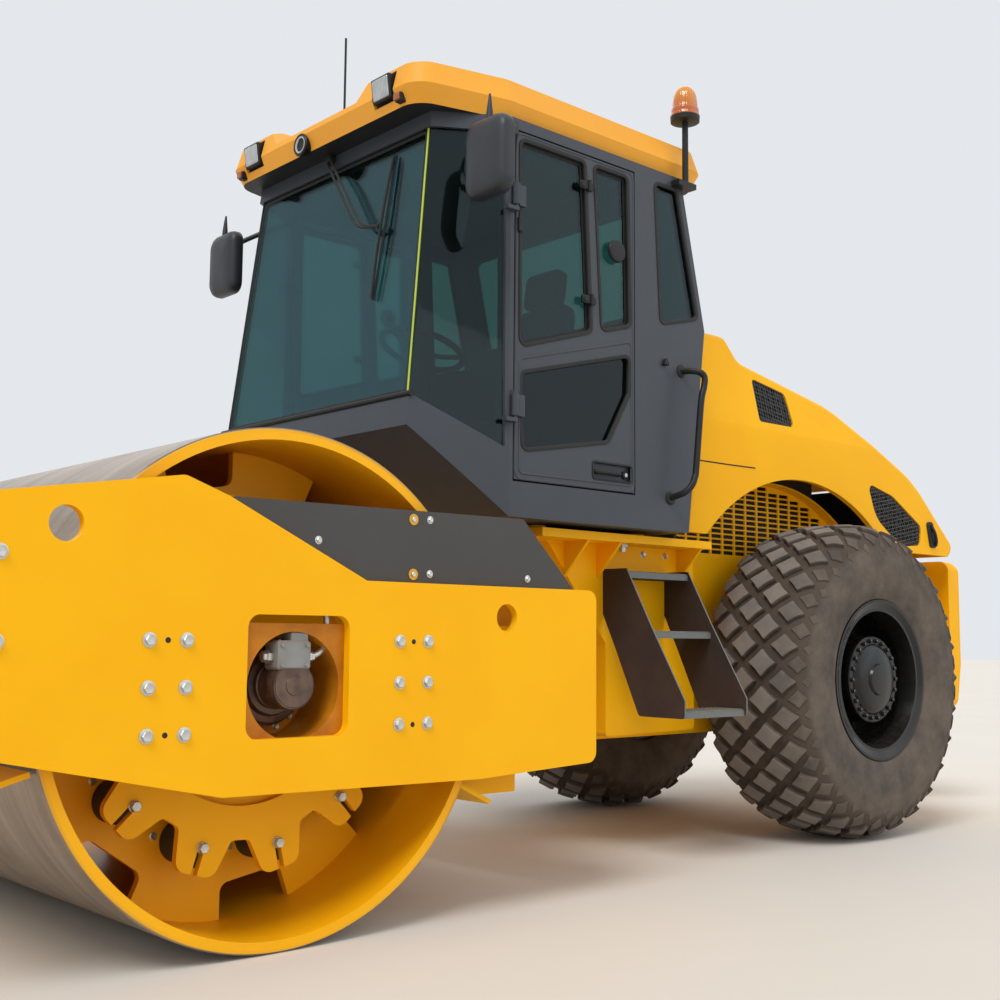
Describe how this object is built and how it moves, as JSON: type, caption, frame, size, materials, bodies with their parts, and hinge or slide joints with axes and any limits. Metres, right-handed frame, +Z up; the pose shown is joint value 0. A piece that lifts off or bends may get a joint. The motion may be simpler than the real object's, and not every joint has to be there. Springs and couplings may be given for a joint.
{
  "type": "single-drum road roller",
  "caption": "Articulated soil roller: smooth vibrating drum in front, glazed cab, sloping engine hood and lugged rear tyres.",
  "frame": {"origin": "on the ground at the middle of the machine's bounding box", "axes": "+X forward to the drum, +Y to the machine's left, +Z up"},
  "size_m": [6.16, 2.274, 3.56],
  "materials": {
    "yellow_paint": "semi-gloss enamel, dusty",
    "cab_paint": "dark blue-grey enamel",
    "dark_paint": "satin dark grey",
    "drum_steel": "bare rolled steel, worn and dusty",
    "machinery_paint": "grey enamel",
    "chrome_rod": "hard chrome",
    "engine_iron": "cast",
    "buffer_rubber": "matt",
    "tyre_rubber": "dusty",
    "rim_paint": "gloss black",
    "tinted_glass": "teal tint",
    "seat_fabric": "woven",
    "black_plastic": "matt",
    "amber_plastic": "translucent amber"
  },
  "bodies": {
    "rear_frame": {"chassis": "yellow_paint", "bumper": "yellow_paint", "rear_axle": "machinery_paint", "engine": "engine_iron", "bulkhead": "dark_paint", "bay_lattices": "yellow_paint", "cab_frame": "cab_paint", "cab_floor": "cab_paint", "cab_roof": "yellow_paint", "roof_fittings": "black_plastic", "windscreen": "tinted_glass", "side_rear_glass": "tinted_glass", "seat": "seat_fabric", "console": "black_plastic", "beacon": "amber_plastic", "mirrors": "black_plastic", "handrails": "black_plastic", "steps": "dark_paint", "cylinder_anchors": "yellow_paint"},
    "front_frame": {"front_beam": "yellow_paint", "rear_beam": "yellow_paint", "scraper_front": "yellow_paint", "scraper_rear": "yellow_paint", "side_plate_left": "yellow_paint", "side_plate_right": "yellow_paint", "travel_motors": "machinery_paint", "guards": "dark_paint"},
    "steer_block": {"steer_block": "yellow_paint"},
    "drum": {"drum": "drum_steel", "rubber_buffers": "buffer_rubber", "drive_plates": "yellow_paint"},
    "hood": {"hood": "yellow_paint", "hood_grilles": "dark_paint"},
    "wheel_left": {"rim_left": "rim_paint", "tyre_left": "tyre_rubber"},
    "door_left": {"door_left": "cab_paint", "door_glass_left": "tinted_glass"},
    "steer_barrel_left": {"steer_barrel_left": "dark_paint"},
    "steer_rod_left": {"steer_rod_left": "chrome_rod"},
    "wheel_right": {"rim_right": "rim_paint", "tyre_right": "tyre_rubber"},
    "door_right": {"door_right": "cab_paint", "door_glass_right": "tinted_glass"},
    "steer_barrel_right": {"steer_barrel_right": "dark_paint"},
    "steer_rod_right": {"steer_rod_right": "chrome_rod"}
  },
  "joints": [
    {"name": "steering", "type": "hinge", "parent": "rear_frame", "child": "steer_block", "pos_m": [0.3, 0, 0.75], "axis": [0, 0, 1], "range_deg": [-33, 33]},
    {"name": "oscillation", "type": "hinge", "parent": "steer_block", "child": "front_frame", "pos_m": [0.3, 0, 0.75], "axis": [1, 0, 0], "range_deg": [-10, 10]},
    {"name": "drum_spin", "type": "hinge", "parent": "front_frame", "child": "drum", "pos_m": [1.92, 0, 0.8], "axis": [0, 1, 0], "continuous": true},
    {"name": "hood_lift", "type": "hinge", "parent": "rear_frame", "child": "hood", "pos_m": [-0.645, 0, 2.37], "axis": [0, 1, 0], "range_deg": [0, 45]},
    {"name": "wheel_spin_left", "type": "hinge", "parent": "rear_frame", "child": "wheel_left", "pos_m": [-1.48, 0.775, 0.765], "axis": [0, 1, 0], "continuous": true},
    {"name": "door_swing_left", "type": "hinge", "parent": "rear_frame", "child": "door_left", "pos_m": [0.755, 0.828, 2.2], "axis": [0, 0, -1], "range_deg": [0, 80]},
    {"name": "steer_barrel_pin_left", "type": "hinge", "parent": "rear_frame", "child": "steer_barrel_left", "pos_m": [-0.48, 0.22, 0.68], "axis": [0, 0, 1], "range_deg": [-5, 5]},
    {"name": "steer_rod_slide_left", "type": "slide", "parent": "steer_barrel_left", "child": "steer_rod_left", "axis": [1, 0, 0], "range_m": [-0.125, 0.125]},
    {"name": "wheel_spin_right", "type": "hinge", "parent": "rear_frame", "child": "wheel_right", "pos_m": [-1.48, -0.775, 0.765], "axis": [0, 1, 0], "continuous": true},
    {"name": "door_swing_right", "type": "hinge", "parent": "rear_frame", "child": "door_right", "pos_m": [0.755, -0.828, 2.2], "axis": [0, 0, 1], "range_deg": [0, 80]},
    {"name": "steer_barrel_pin_right", "type": "hinge", "parent": "rear_frame", "child": "steer_barrel_right", "pos_m": [-0.48, -0.22, 0.68], "axis": [0, 0, 1], "range_deg": [-5, 5]},
    {"name": "steer_rod_slide_right", "type": "slide", "parent": "steer_barrel_right", "child": "steer_rod_right", "axis": [1, 0, 0], "range_m": [-0.125, 0.125]}
  ],
  "couplings": [
    {"joint": "steer_barrel_pin_left", "follows": "steering", "ratio": -0.13},
    {"joint": "steer_rod_slide_left", "follows": "steering", "m_per_rad": -0.2085},
    {"joint": "steer_barrel_pin_right", "follows": "steering", "ratio": -0.13},
    {"joint": "steer_rod_slide_right", "follows": "steering", "m_per_rad": 0.2085}
  ]
}
